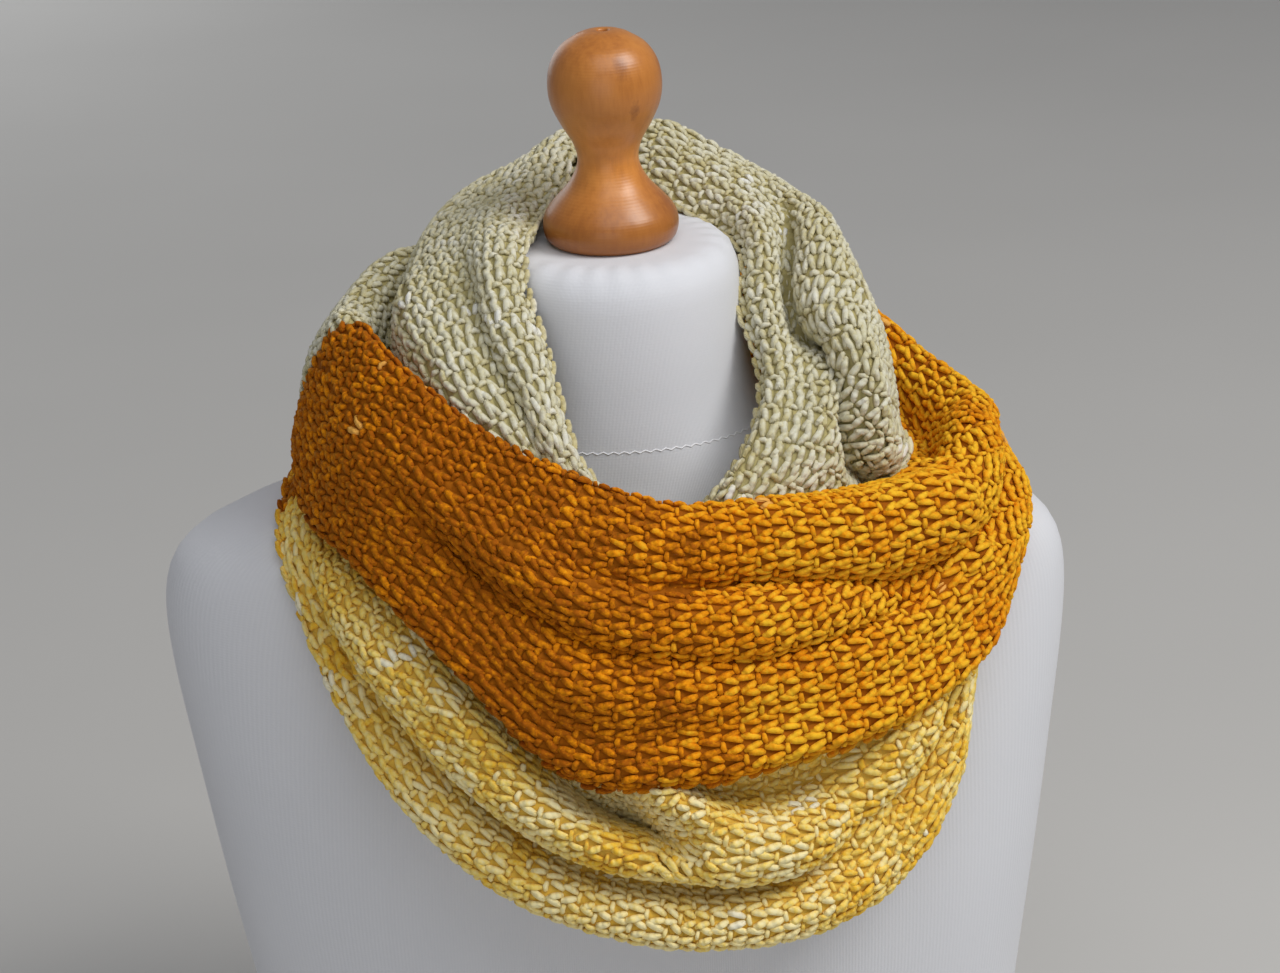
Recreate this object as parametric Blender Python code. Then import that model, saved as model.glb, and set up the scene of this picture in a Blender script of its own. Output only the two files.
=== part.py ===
"""Three-colour knitted infinity scarf wound three times round a limbless dress form.

Frame: metres, +Z up, origin on the middle of the form's flat bottom.  The form
faces -Y, so a viewer in front of it sees +X on the right.  Tables are in mm.
"""
import math

import bpy
from mathutils import Vector

MM = 0.001

# ---------------------------------------------------------------- driving sizes
WALL = 4.0            # thickness of the chunky knitted wall
SEAM = 0.3            # gap left where one stretch of the scarf meets the next
FINE = 64             # steps across the scarf when its section is worked out
CLEAR = 0.3           # gap between the knob and the neck it stands on
TORSO_SIDES = 56      # facets round the form
KNOB_SIDES = 36       # facets round the turned knob
SQUARENESS = 2.1      # exponent of the torso's rounded sections (2 = ellipse)

# ---------------------------------------------------------------- dress form
# height, half width, depth in front of the neck axis, depth behind it, shift to +X
TORSO = [
    (0.0, 156, 76, 72, 0.0),         # flat bottom
    (3.0, 160, 79, 75, 0.0),         # small rounding at the bottom edge
    (60.0, 170, 84, 80, -1.3),
    (120.0, 179, 89, 86, -2.7),
    (180.0, 188, 90, 91, -3.8),
    (240.0, 196, 85, 94, -4.7),
    (280.0, 201, 79, 94, -5.3),
    (305.0, 202.5, 75, 92, -5.5),
    (322.0, 201, 72, 90, -5.5),
    (334.0, 196, 70, 88, -5.5),
    (343.0, 186, 68, 85, -5.5),
    (350.5, 170, 66, 82, -5.2),
    (358.0, 148, 64, 78, -4.5),      # top of the shoulders
    (366.0, 120, 62, 73, -3.5),
    (376.0, 94, 60, 68, -2.3),
    (386.0, 76, 59, 64, -1.2),       # foot of the neck
    (397.0, 65, 58, 61, -0.5),
    (411.0, 59.5, 57, 59, 0.0),
    (428.0, 57, 56.5, 57, 0.0),
    (447.0, 55.7, 55.7, 55.7, 0.0),
    (459.0, 54.5, 54.5, 54.5, 0.0),
    (465.5, 52, 52, 52, 0.0),
    (469.5, 47.5, 47.5, 47.5, 0.0),
    (470.5, 42, 42, 42, 0.0),        # flat top of the neck
]

# height, radius of the turned knob on top of the neck
KNOB = [
    (470.8, 26.0),
    (473.0, 28.3),
    (478.5, 29.5),
    (484.0, 28.2),
    (490.0, 23.5),
    (497.0, 17.2),
    (506.0, 13.3),
    (514.0, 14.6),
    (523.0, 19.6),
    (532.0, 23.6),
    (541.0, 24.6),
    (550.0, 22.8),
    (557.0, 18.0),
    (561.5, 11.0),
    (563.2, 5.0),
    (563.3, 2.4),
    (558.0, 2.2),              # small blind hole in the top
]

# ---------------------------------------------------------------- scarf sections
# One closed loop of 1080 degrees.  Each row is the section of the cloth at one
# turn angle (0 = front, growing to +X): the radius and height of seven lines that
# run along the scarf, from its inner edge, over the top, to its outer edge.
#        turn    inner edge  crest       upper       middle      lower       outer hem   tucked edge
MUSTARD_FRONT = [
    (-90.0, (103, 424), (107, 438), (119, 441), (132, 426), (139, 404), (142, 386), (137, 382)),
    (-80.0, (106, 421), (111, 442), (119, 447), (131, 428), (138, 407), (144, 386), (139, 381)),
    (-70.0, (107, 416), (113, 446), (124, 435), (135, 410), (141, 390), (146, 373), (141, 370)),
    (-50.0, (110, 405), (113, 436), (129, 417), (141, 394), (145, 380), (149, 366), (144, 362)),
    (-30.0, (110, 386), (112, 418), (130, 398), (143, 373), (145, 356), (152, 337), (147, 333)),
    (-10.0, (110, 368), (113, 403), (132, 379), (146, 350), (146, 333), (154, 292), (149, 286)),
    (10.0, (110, 352), (114, 388), (133, 365), (147, 334), (146, 318), (154, 287), (149, 281)),
    (30.0, (111, 348), (116, 382), (136, 366), (150, 330), (149, 314), (157, 290), (152, 284)),
    (50.0, (118, 344), (123, 377), (145, 365), (158, 330), (156, 315), (163, 294), (158, 288)),
    (60.0, (120, 350), (131, 376), (152, 367), (165, 333), (163, 318), (168, 300), (163, 295)),
    (70.0, (114, 366), (141, 379), (159, 368), (171, 341), (171, 328), (172, 310), (167, 305)),
    (79.0, (110, 372), (152, 383), (164, 377), (172, 364), (175, 356), (177, 349), (173, 347)),
    (88.0, (110, 374), (154, 388), (161, 383), (168, 372), (172, 363), (174, 357), (170, 356)),
    (103.0, (107, 380), (140, 399), (146, 395), (152, 386), (157, 377), (159, 371), (155, 368)),
]
MUSTARD_BACK = [
    (120.0, (106, 386), (124, 416), (136, 409), (144, 400), (149, 391), (151, 384), (146, 381)),
    (135.0, (101, 392), (118, 422), (126, 417), (131, 408), (133, 401), (133, 394), (128, 390)),
    (150.0, (95, 398), (110, 430), (117, 421), (121, 407), (122, 395), (122, 385), (117, 380)),
    (165.0, (92, 400), (105, 434), (112, 424), (115, 407), (116, 389), (115, 373), (110, 367)),
    (180.0, (92, 400), (102, 436), (109, 424), (112, 404), (113, 386), (112, 368), (107, 361)),
    (210.0, (96, 392), (108, 424), (118, 415), (123, 398), (125, 382), (124, 364), (118, 356)),
    (240.0, (100, 382), (116, 406), (130, 403), (140, 392), (145, 379), (147, 366), (142, 362)),
    (255.0, (103, 381), (115, 391), (129, 389), (138, 382), (143, 374), (146, 367), (142, 364)),
]
YELLOW_FRONT = [
    (272.0, (106, 378), (117, 382), (127, 380), (135, 376), (141, 371), (145, 367), (148, 364)),
    (281.0, (112, 374), (123, 374), (134, 372), (142, 368), (147, 364), (150, 360.4), (152, 357.3)),
    (285.0, (116, 371), (128, 370), (139, 368), (146, 364), (150, 359.6), (152, 356.3), (154, 352.2)),
    (290.0, (120, 366), (132, 363), (142, 361), (149, 356), (152, 350), (154, 345), (154, 341)),
    (310.0, (120, 368), (131, 357), (152, 344), (151, 318), (155, 303), (155, 293), (148, 289)),
    (330.0, (122, 350), (131, 333), (153, 309), (148, 276), (154, 258), (152, 244), (144, 240)),
    (350.0, (122, 316), (131, 296), (152, 265), (148, 245), (153, 232), (151, 220), (143, 216)),
    (370.0, (123, 306), (133, 284), (152, 244), (148, 231), (153, 218), (151, 207), (143, 203)),
    (390.0, (125, 306), (135, 287), (154, 241), (148, 226), (154, 214), (152, 203), (144, 199)),
    (403.0, (130, 312), (139, 298), (156, 252), (149, 232), (156, 219), (154, 207), (146, 203)),
    (412.0, (134, 322), (141, 312), (152, 284), (149, 257), (159, 236), (159, 223), (151, 218)),
    (420.0, (136, 334), (143, 328), (150, 313), (150, 291), (160, 264), (161, 247), (154, 241)),
    (428.0, (133, 354), (141, 353), (148, 346), (152, 334), (158, 312), (161, 289), (157, 283)),
]
YELLOW_BACK = [
    (436.0, (136, 362), (144, 366), (151, 365), (157, 360), (161, 354), (164, 349), (167, 344)),
    (442.0, (136, 366), (144, 370), (152, 369), (157, 364), (161, 359), (164, 355), (167, 352)),
    (450.0, (134, 367), (142, 370), (150, 369), (155, 365), (158, 361), (161, 357.4), (163, 355.3)),
    (465.0, (127, 367), (137, 372), (146, 371), (151, 366), (154, 361.5), (157, 357.4), (159, 353.4)),
    (472.0, (123, 367), (133, 372), (143, 371), (149, 365), (152, 359), (155, 353), (156, 349)),
    (480.0, (121, 366), (131, 372), (141, 370), (148, 360), (151, 350), (153, 340), (152, 332)),
    (495.0, (131, 366), (137, 375), (142, 376), (147, 366), (149, 350), (149, 336), (143, 328)),
    (510.0, (133, 400), (137, 414), (142, 414), (146, 400), (148, 378), (147, 354), (141, 344)),
]
CREAM_LEFT = [
    (525.0, (109, 452), (112, 466), (118, 470), (125, 461), (130, 440), (131, 414), (126, 400)),
    (540.0, (94, 474), (97, 486), (102, 493), (109, 488), (116, 467), (120, 442), (118, 428)),
    (555.0, (64, 491), (72, 495), (79, 497), (88, 494), (99, 480), (107, 460), (109, 444)),
    (570.0, (39, 487), (52, 491), (65, 493), (79, 491), (92, 477), (100, 459), (102, 446)),
    (590.0, (35, 481), (49, 485), (62, 486), (78, 482), (89, 475), (97, 466), (100, 460)),
    (600.0, (34, 478), (47, 483), (62, 483), (79, 478), (88, 469), (93, 459), (95, 450)),
    (615.0, (33, 477), (46, 482), (63, 480), (82, 473), (90, 456), (95, 437), (95, 418)),
    (630.0, (33, 476), (45, 480), (63, 476), (84, 467), (92, 446), (94, 420), (92, 396)),
    (650.0, (33, 477), (45, 479), (67, 473), (93, 459), (99, 438), (100, 412), (97, 392)),
    (665.0, (36, 478), (48, 479), (72, 465), (97, 449), (103, 428), (103, 404), (99, 382)),
    (673.0, (50, 473), (56, 474), (76, 459), (99, 443), (104, 423), (103, 398), (99, 375)),
    (680.0, (57, 464), (63, 465), (82, 451), (101, 436), (105, 418), (103, 392), (99, 368)),
    (695.0, (71, 440), (77, 442), (90, 432), (102, 416), (104, 400), (102, 375), (98, 350)),
    (710.0, (94, 398), (98, 400), (102, 392), (103, 380), (103, 360), (101, 338), (97, 318)),
]
CREAM_RIGHT = [
    (730.0, (99, 372), (101, 374), (103, 370), (104, 362), (104, 345), (101, 325), (97, 305)),
    (750.0, (94, 386), (97, 389), (101, 385), (105, 378), (106, 364), (104, 345), (100, 325)),
    (770.0, (77, 412), (83, 418), (98, 400), (108, 404), (114, 390), (114, 368), (111, 347)),
    (790.0, (64, 440), (70, 449), (85, 423), (104, 444), (117, 430), (124, 407), (127, 388)),
    (810.0, (60, 460), (65, 469), (74, 448), (94, 466), (106, 450), (112, 426), (113, 402)),
    (840.0, (54, 470), (62, 477), (73, 474), (91, 474), (102, 460), (107, 436), (106, 412)),
    (870.0, (47, 475), (57, 484), (68, 490), (85, 496), (97, 481), (101, 459), (100, 441)),
    (885.0, (46, 476), (56, 485), (68, 493), (86, 503), (96, 485), (99, 460), (97, 436)),
]
CREAM_BACK = [
    (900.0, (48, 475), (58, 484), (69, 489), (79, 486), (85, 470), (87, 448), (84, 424)),
    (915.0, (56, 469), (62, 477), (70, 480), (80, 477), (88, 462), (91, 438), (88, 416)),
    (930.0, (61, 454), (68, 463), (75, 467), (84, 463), (91, 447), (94, 427), (91, 406)),
    (945.0, (80, 420), (86, 438), (92, 449), (99, 451), (105, 443), (108, 432), (106, 424)),
    (960.0, (96, 430), (101, 446), (109, 452), (117, 446), (122, 437), (124, 429), (120, 424)),
    (975.0, (101, 430), (105, 443), (114, 447), (125, 436), (132, 423), (136, 410), (131, 406)),
]
LOOP = (MUSTARD_FRONT + MUSTARD_BACK + YELLOW_FRONT + YELLOW_BACK
        + CREAM_LEFT + CREAM_RIGHT + CREAM_BACK)
TURNS = 1080.0        # degrees in the whole loop

# Folds pressed into the sections: turn where each starts, is deepest and ends, place
# across the width (0 = inner edge, 1 = outer edge) at its start and end, half width
# and depth in mm (+ outwards, - inwards).
#    start   deepest end     from   to     half   depth
FOLDS = [
    (0.0, 62.0, 104.0, 0.26, 0.42, 15.0, 3.5),       # rolled top of the mustard front
    (2.0, 60.0, 100.0, 0.40, 0.59, 9.0, -10.0),      # deep valley under the roll
    (-45.0, 35.0, 88.0, 0.70, 0.74, 13.0, 3.0),      # long ridge below the valley
    (-40.0, 20.0, 74.0, 0.84, 0.86, 9.0, -4.0),      # recess above the hem
    (296.0, 350.0, 408.0, 0.40, 0.34, 9.0, 2.5),     # long roll of the yellow front
    (300.0, 372.0, 418.0, 0.58, 0.60, 9.0, -3.0),    # valley below it
    (575.0, 650.0, 712.0, 0.42, 0.40, 12.0, -4.0),   # shallow dip down the left cream fall
    (575.0, 655.0, 715.0, 0.14, 0.12, 10.0, 2.5),    # its rounded selvedge
    (120.0, 190.0, 262.0, 0.50, 0.58, 10.0, -4.0),   # folds round the back
    (448.0, 500.0, 540.0, 0.40, 0.46, 9.0, -4.0),
    (815.0, 868.0, 930.0, 0.34, 0.46, 11.0, -5.0),
    (500.0, 556.0, 600.0, 0.50, 0.44, 12.0, -4.0),
]

# node, turn angles of its two ends (inner edge, outer edge), largest step between
# sections, facets across, colour
STRETCHES = [
    ("scarf_mustard_front", (-70.0, -94.0), (125.0, 125.0), 10, 20, "mustard_wool"),
    ("scarf_mustard_back", (125.0, 125.0), (280.0, 280.0), 13, 10, "mustard_wool"),
    ("scarf_yellow_front", (280.0, 280.0), (432.0, 432.0), 10, 16, "yellow_wool"),
    ("scarf_yellow_back", (432.0, 432.0), (525.0, 525.0), 12, 10, "yellow_wool"),
    ("scarf_cream_left", (525.0, 525.0), (720.0, 720.0), 12, 14, "cream_wool"),
    ("scarf_cream_right", (720.0, 720.0), (900.0, 900.0), 12, 14, "cream_wool"),
    ("scarf_cream_back", (900.0, 900.0), (1010.0, 986.0), 12, 20, "cream_wool"),
]

COLOURS = {            # base colour, roughness
    "mustard_wool": ((0.78, 0.36, 0.03), 0.9),
    "yellow_wool": ((0.82, 0.62, 0.22), 0.9),
    "cream_wool": ((0.80, 0.76, 0.58), 0.9),
    "white_jersey": ((0.78, 0.79, 0.82), 0.8),
    "turned_wood": ((0.52, 0.22, 0.06), 0.4),
}


def material(name):
    colour, rough = COLOURS[name]
    mat = bpy.data.materials.get(name)
    if mat is None:
        mat = bpy.data.materials.new(name)
        mat.use_nodes = True
        shader = mat.node_tree.nodes["Principled BSDF"]
        shader.inputs["Base Color"].default_value = (*colour, 1.0)
        shader.inputs["Roughness"].default_value = rough
        mat.diffuse_color = (*colour, 1.0)
    return mat


def node(name, verts, faces, mat):
    mesh = bpy.data.meshes.new(name)
    mesh.from_pydata([(x * MM, y * MM, z * MM) for x, y, z in verts], [], faces)
    mesh.update()
    obj = bpy.data.objects.new(name, mesh)
    obj.data.materials.append(material(mat))
    bpy.context.scene.collection.objects.link(obj)
    return obj


def hermite(p0, p1, m0, m1, u):
    """Cubic between two values with the given slopes, u from 0 to 1."""
    a = (1 + 2 * u) * (1 - u) ** 2
    b = u * (1 - u) ** 2
    c = u * u * (3 - 2 * u)
    d = u * u * (u - 1)
    return a * p0 + b * m0 + c * p1 + d * m1


def section(turn):
    """The seven (radius, height) points of the cloth at any turn angle."""
    first = LOOP[0][0]
    turn = (turn - first) % TURNS + first
    count = len(LOOP)
    k = max(i for i in range(count) if LOOP[i][0] <= turn)
    rows = []
    for j in (k - 1, k, k + 1, k + 2):
        angle = LOOP[j % count][0] + TURNS * (j // count)
        rows.append((angle, LOOP[j % count][1:]))
    (ta, a), (tb, b), (tc, c), (td, d) = rows
    u = (turn - tb) / (tc - tb)
    out = []
    for rail in range(7):
        point = []
        for axis in (0, 1):
            pa, pb, pc, pd = (r[rail][axis] for r in (a, b, c, d))
            mb = (pc - pa) / (tc - ta) * (tc - tb)
            mc = (pd - pb) / (td - tb) * (tc - tb)
            point.append(hermite(pb, pc, mb, mc, u))
        out.append(tuple(point))
    return out


def across(points, count):
    """Smooth curve through the section's points, cut into equal lengths."""
    fine = []
    last = len(points) - 1
    for i in range(last):
        p0, p1 = points[max(i - 1, 0)], points[i]
        p2, p3 = points[i + 1], points[min(i + 2, last)]
        l0, l1, l2 = (max(math.dist(s, e), 0.5) for s, e in ((p0, p1), (p1, p2), (p2, p3)))
        for k in range(12):
            u = k / 12
            pair = []
            for axis in (0, 1):
                m1 = (p2[axis] - p0[axis]) / (l0 + l1) * l1 if i else p2[axis] - p1[axis]
                m2 = (p3[axis] - p1[axis]) / (l1 + l2) * l1 if i < last - 1 else p2[axis] - p1[axis]
                pair.append(hermite(p1[axis], p2[axis], m1, m2, u))
            fine.append(tuple(pair))
    fine.append(points[-1])
    run = [0.0]
    for s, e in zip(fine, fine[1:]):
        run.append(run[-1] + math.dist(s, e))
    out, k = [], 0
    for i in range(count + 1):
        goal = run[-1] * i / count
        while k < len(run) - 2 and run[k + 1] < goal:
            k += 1
        u = (goal - run[k]) / (run[k + 1] - run[k])
        out.append(tuple(fine[k][a] + (fine[k + 1][a] - fine[k][a]) * u for a in (0, 1)))
    return out


def cloth(turn, cache={}):
    """Section of the cloth at a turn angle, in FINE equal steps, with its folds pressed in."""
    key = round(turn, 6)
    if key in cache:
        return cache[key]
    plain = across(section(turn), FINE)
    width = FINE * math.dist(plain[FINE // 2], plain[FINE // 2 + 1])
    shaped = []
    for k, (radial, height) in enumerate(plain):
        before, after = plain[max(k - 1, 0)], plain[min(k + 1, FINE)]
        dr, dz = after[0] - before[0], after[1] - before[1]
        length = math.hypot(dr, dz) or 1.0
        push = 0.0
        for first, deepest, last, share_first, share_last, half, depth in FOLDS:
            place = (turn - first) % TURNS + first
            if place >= last:
                continue
            grow = (place - first) / (deepest - first) if place < deepest else (last - place) / (last - deepest)
            share = share_first + (share_last - share_first) * (place - first) / (last - first)
            strength = grow * grow * (3 - 2 * grow)
            push += depth * strength * math.exp(-((k / FINE - share) * width / half) ** 2)
        shaped.append((radial - push * dz / length, height + push * dr / length))
    cache[key] = shaped
    return shaped


def scarf_point(turn, v):
    """Middle of the cloth at a turn angle and a share v of its width."""
    points = cloth(turn)
    k = min(int(v * FINE), FINE - 1)
    (r0, z0), (r1, z1) = points[k:k + 2]
    radial, height = r0 + (r1 - r0) * (v * FINE - k), z0 + (z1 - z0) * (v * FINE - k)
    angle = math.radians(turn)
    return Vector((radial * math.sin(angle), -radial * math.cos(angle), height))


def station_shares(start, end, step):
    """Shares from 0 to 1 between two turns: one at each table row and at most a step apart."""
    marks = [row[0] for row in LOOP if start + 3 < row[0] < end - 3]
    stops = [start] + marks + [end]
    shares = [0.0]
    for a, b in zip(stops, stops[1:]):
        count = math.ceil((b - a) / step)
        shares += [(a + (b - a) * i / count - start) / (end - start) for i in range(1, count + 1)]
    return shares


def scarf_wall(name, start, end, step, facets, mat):
    """One stretch of the scarf: a knitted wall between two turn angles."""
    shares = station_shares(sum(start) / 2, sum(end) / 2, step)
    steps = len(shares) - 1
    outer, inner = [], []
    for i in range(steps + 1):
        for j in range(facets + 1):
            v = j / facets
            first = start[0] + (start[1] - start[0]) * v
            last = end[0] + (end[1] - end[0]) * v
            trim = math.degrees(SEAM / 2 / math.hypot(*scarf_point(first, v)[:2]))
            trim_end = math.degrees(SEAM / 2 / math.hypot(*scarf_point(last, v)[:2]))
            turn = first + trim + (last - first - trim - trim_end) * shares[i]
            middle = scarf_point(turn, v)
            if 0 < i < steps:
                along = scarf_point(turn + 2, v) - scarf_point(turn - 2, v)
            else:
                along = Vector((math.cos(math.radians(turn)), math.sin(math.radians(turn)), 0))
            over = scarf_point(turn, min(v + 0.03, 1.0)) - scarf_point(turn, max(v - 0.03, 0.0))
            normal = over.cross(along).normalized() * WALL / 2
            outer.append(middle + normal)
            inner.append(middle - normal)
    wide = facets + 1
    size = len(outer)
    faces = []
    for i in range(steps):
        for j in range(facets):
            a, b = i * wide + j, i * wide + j + 1
            c, d = b + wide, a + wide
            faces += [(a, b, c), (a, c, d)]
            faces += [(size + c, size + b, size + a), (size + d, size + c, size + a)]
    rim = [i * wide for i in range(steps)] + [steps * wide + j for j in range(facets)]
    rim += [i * wide + facets for i in range(steps, -1, -1)]
    for a, b in zip(rim, rim[1:]):
        faces += [(a, b, size + b), (a, size + b, size + a)]
    for b in range(facets):
        faces += [(b + 1, b, size + b + 1), (b, size + b, size + b + 1)]
    return node(name, outer + inner, faces, mat)


def ring(half_width, front, back, shift, height, sides):
    """Rounded torso section; front and back have their own depths."""
    points = []
    for i in range(sides):
        angle = 2 * math.pi * i / sides
        s, c = math.sin(angle), -math.cos(angle)
        depth = front if c < 0 else back
        k = (abs(s) ** SQUARENESS + abs(c) ** SQUARENESS) ** (-1 / SQUARENESS)
        points.append((shift + half_width * s * k, depth * c * k, height))
    return points


def loft(name, rings, mat):
    """Closed solid through a stack of rings with the same number of points."""
    sides = len(rings[0])
    verts = [p for r in rings for p in r]
    faces = []
    for i in range(len(rings) - 1):
        for j in range(sides):
            a, b = i * sides + j, i * sides + (j + 1) % sides
            faces += [(a, b, b + sides), (a, b + sides, a + sides)]
    low, top = rings[0], rings[-1]
    for r, first, flip in ((low, 0, True), (top, (len(rings) - 1) * sides, False)):
        centre = len(verts)
        verts.append(tuple(sum(p[k] for p in r) / sides for k in range(3)))
        for j in range(sides):
            a, b = first + j, first + (j + 1) % sides
            faces.append((centre, b, a) if flip else (centre, a, b))
    return node(name, verts, faces, mat)


def main():
    for obj in list(bpy.data.objects):
        bpy.data.objects.remove(obj, do_unlink=True)
    loft("dress_form", [ring(w, f, b, s, z, TORSO_SIDES) for z, w, f, b, s in TORSO], "white_jersey")
    knob = [[(r * math.sin(2 * math.pi * i / KNOB_SIDES), -r * math.cos(2 * math.pi * i / KNOB_SIDES), z)
             for i in range(KNOB_SIDES)] for z, r in KNOB]
    loft("neck_knob", knob, "turned_wood")
    for name, start, end, step, facets, mat in STRETCHES:
        scarf_wall(name, start, end, step, facets, mat)


main()
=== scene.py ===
"""Three-colour knitted infinity scarf wound three times round a limbless dress form.

The visual model: stitches, cloth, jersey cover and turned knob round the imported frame.
Tables are in mm and degrees; every object is in metres, in the frame's own axes.
"""
import math
import random

import bpy
import numpy as np
from mathutils import Matrix, Vector, noise


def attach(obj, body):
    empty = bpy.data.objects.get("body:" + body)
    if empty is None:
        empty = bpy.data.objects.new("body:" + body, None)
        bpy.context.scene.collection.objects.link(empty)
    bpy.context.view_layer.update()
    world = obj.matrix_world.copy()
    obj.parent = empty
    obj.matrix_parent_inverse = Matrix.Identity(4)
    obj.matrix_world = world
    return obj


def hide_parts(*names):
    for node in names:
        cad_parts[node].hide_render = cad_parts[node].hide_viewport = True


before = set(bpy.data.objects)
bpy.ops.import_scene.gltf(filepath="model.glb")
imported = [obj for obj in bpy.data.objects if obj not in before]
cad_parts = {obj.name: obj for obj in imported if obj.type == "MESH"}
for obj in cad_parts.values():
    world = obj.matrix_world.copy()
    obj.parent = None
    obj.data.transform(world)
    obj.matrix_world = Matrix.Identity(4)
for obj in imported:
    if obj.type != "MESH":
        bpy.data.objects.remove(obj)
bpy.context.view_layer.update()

MM = 0.001

# -------------------- driving sizes
FINE = 96             # steps across the cloth when its section is worked out
SHARES = np.linspace(0, 1, FINE + 1)
CURVE_STEPS = 12      # steps of the curve between two of the section's seven lines
SQUARENESS = 2.1      # exponent of the torso's rounded sections (2 = ellipse)
COLUMN = 6.4          # width of one column of stitches
REPEAT = 16.6         # length of one repeat of the pattern: a bump and two stitches
ANCHOR = 10           # turn where the columns' repeats start level with each other
REVERSED = 720        # turn from which the stitches' points face the other way
ROLL_SHARE = 0.32     # height of the roll beside a crease, as a share of the crease's depth
ROLL_AWAY = 2.1       # its distance from the crease, in the crease's half widths
ROLL_WIDE = 1.1       # its own half width, in the same measure
SLOW_SIDE = 1.6       # how much wider a crease is on the side away from that roll
UNEVEN = 26, 0.9      # length and height of the hand-knitted cloth's unevenness
WANDER = 14, 1.6, 12  # length and width of the edges' wandering, and its reach inwards
EDGE = 3              # half the way round the cloth's rolled edge
CORE_OUT = 0.7        # face of the cloth under the stitches, from its middle
CORE_IN = -1.7        # its inner face
CORE_STEPS = 64       # steps across that cloth
LIFT = 0.85           # height of the stitches' own middle line
YARN_SIDES = 5        # facets round a yarn
FORM_SIDES = 180      # points round the dress form
KNOB_SIDES = 96       # points round its knob
SEAM_HEIGHT = 393     # seam between the neck's jersey and the shoulders'
SEAM_POINTS = 190     # turning points of its zigzag
SEAM_THREAD = 0.28    # radius of its thread

# -------------------- dress form
# height, half width, depth in front of the neck axis, depth behind it, shift to +X
TORSO = [
    (0, 156, 76, 72, 0),       # flat bottom
    (3, 160, 79, 75, 0),       # small rounding at the bottom edge
    (60, 170, 84, 80, -1.3),
    (120, 179, 89, 86, -2.7),
    (180, 188, 90, 91, -3.8),
    (240, 196, 85, 94, -4.7),
    (280, 201, 79, 94, -5.3),
    (305, 202.5, 75, 92, -5.5),
    (322, 201, 72, 90, -5.5),
    (334, 196, 70, 88, -5.5),
    (343, 186, 68, 85, -5.5),
    (350.5, 170, 66, 82, -5.2),
    (358, 148, 64, 78, -4.5),  # top of the shoulders
    (366, 120, 62, 73, -3.5),
    (376, 94, 60, 68, -2.3),
    (386, 76, 59, 64, -1.2),   # foot of the neck
    (397, 65, 58, 61, -0.5),
    (411, 59.5, 57, 59, 0),
    (428, 57, 56.5, 57, 0),
    (447, 55.7, 55.7, 55.7, 0),
    (459, 54.5, 54.5, 54.5, 0),
    (465.5, 52, 52, 52, 0),
    (469.5, 47.5, 47.5, 47.5, 0),
    (470.5, 42, 42, 42, 0),    # flat top of the neck
]

# height, radius of the turned knob on top of the neck
KNOB = [
    (470.8, 26), (473, 28.3), (478.5, 29.5), (484, 28.2), (490, 23.5), (497, 17.2), (506, 13.3),
    (514, 14.6), (523, 19.6), (532, 23.6), (541, 24.6), (550, 22.8), (557, 18), (561.5, 11),
]
# the same for its rounded top and the small blind hole in it
KNOB_TOP = [
    (562.6, 8), (563.1, 5.4), (563.2, 3.4), (563, 2.6), (562.2, 2.3), (558, 2.2),
]

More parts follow.
